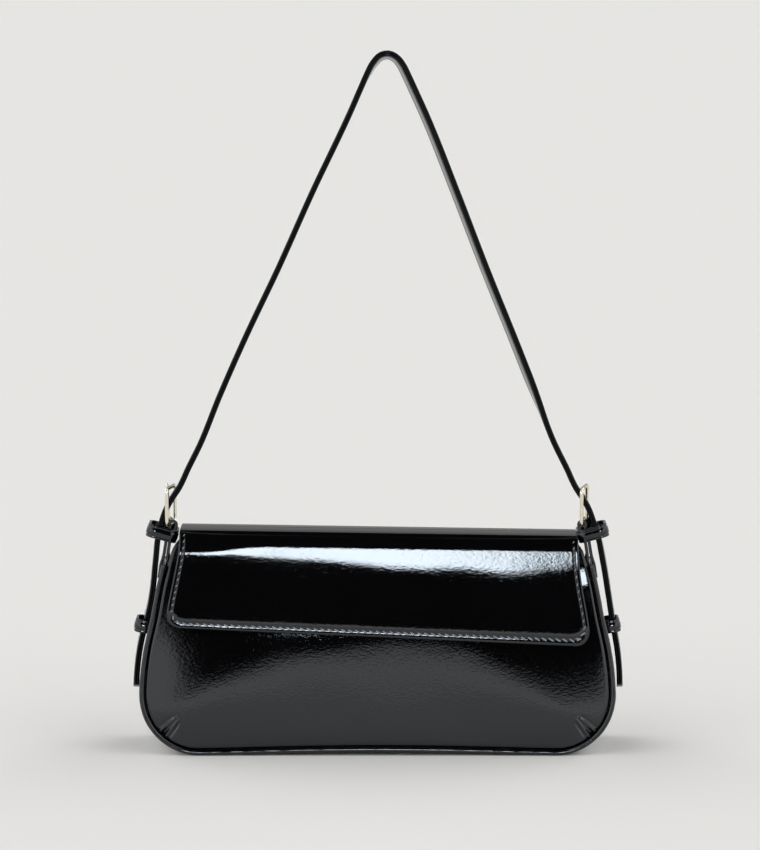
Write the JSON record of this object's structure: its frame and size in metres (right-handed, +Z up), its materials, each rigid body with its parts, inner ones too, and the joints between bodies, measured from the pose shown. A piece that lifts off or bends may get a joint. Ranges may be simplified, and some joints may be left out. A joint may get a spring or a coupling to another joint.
{
  "type": "baguette shoulder bag",
  "caption": "Patent baguette shoulder bag with a fold-over flap, a magnetic snap, and one strap held by a pin buckle at each side.",
  "frame": {"origin": "middle of the base, on the surface that the bag stands on", "axes": "+Z up, the front with the flap faces -Y, +X to the bag's left as it faces the viewer's right"},
  "size_m": [0.2968, 0.066, 0.418],
  "materials": {
    "patent_black": "high gloss patent",
    "piping_black": "gloss",
    "strap_black": "gloss patent with painted edges",
    "lining_cloth": "matt woven",
    "board": "matt fibreboard",
    "pale_gold": "polished pale gold plate",
    "snap_metal": "satin plate"
  },
  "bodies": {
    "bag": {"front_panel": "patent_black", "back_panel": "patent_black", "gusset": "patent_black", "front_piping": "piping_black", "back_piping": "piping_black", "base_board": "board", "front_lining": "lining_cloth", "back_lining": "lining_cloth", "gusset_lining": "lining_cloth", "front_facing": "patent_black", "back_facing": "patent_black", "slip_pocket": "lining_cloth", "snap_socket": "snap_metal", "socket_washer": "snap_metal", "flap_yoke": "patent_black", "left_chape_anchor": "patent_black", "right_chape_anchor": "patent_black", "left_strap_tail": "strap_black", "right_strap_tail": "strap_black", "left_lower_keeper": "strap_black", "right_lower_keeper": "strap_black"},
    "flap_top": {"flap_top_skin": "patent_black", "flap_top_lining": "lining_cloth"},
    "flap_front": {"flap_front_skin": "patent_black", "flap_stiffener": "board", "flap_front_lining": "lining_cloth", "snap_stud": "snap_metal", "stud_washer": "snap_metal"},
    "strap_loop": {"strap": "strap_black", "left_chape": "patent_black", "right_chape": "patent_black", "left_buckle_frame": "pale_gold", "right_buckle_frame": "pale_gold", "left_upper_keeper": "strap_black", "right_upper_keeper": "strap_black"},
    "left_prong": {"left_prong": "pale_gold"},
    "right_prong": {"right_prong": "pale_gold"}
  },
  "joints": [
    {"name": "flap_hinge", "type": "hinge", "parent": "bag", "child": "flap_top", "pos_m": [0, 0.0136, 0.1308], "axis": [-1, 0, 0], "range_deg": [0, 45]},
    {"name": "flap_front_fold", "type": "hinge", "parent": "flap_top", "child": "flap_front", "pos_m": [0, -0.0127, 0.1253], "axis": [-1, 0, 0], "range_deg": [0, 75]},
    {"name": "strap_fold", "type": "hinge", "parent": "bag", "child": "strap_loop", "pos_m": [0, 0, 0.127], "axis": [1, 0, 0], "range_deg": [-66, 66]},
    {"name": "left_prong_turn", "type": "hinge", "parent": "strap_loop", "child": "left_prong", "pos_m": [-0.12352, 0, 0.135], "axis": [-0.2079, -0.9781, 0], "range_deg": [0, 6]},
    {"name": "right_prong_turn", "type": "hinge", "parent": "strap_loop", "child": "right_prong", "pos_m": [0.12352, 0, 0.135], "axis": [0.2079, 0.9781, 0], "range_deg": [0, 6]}
  ]
}
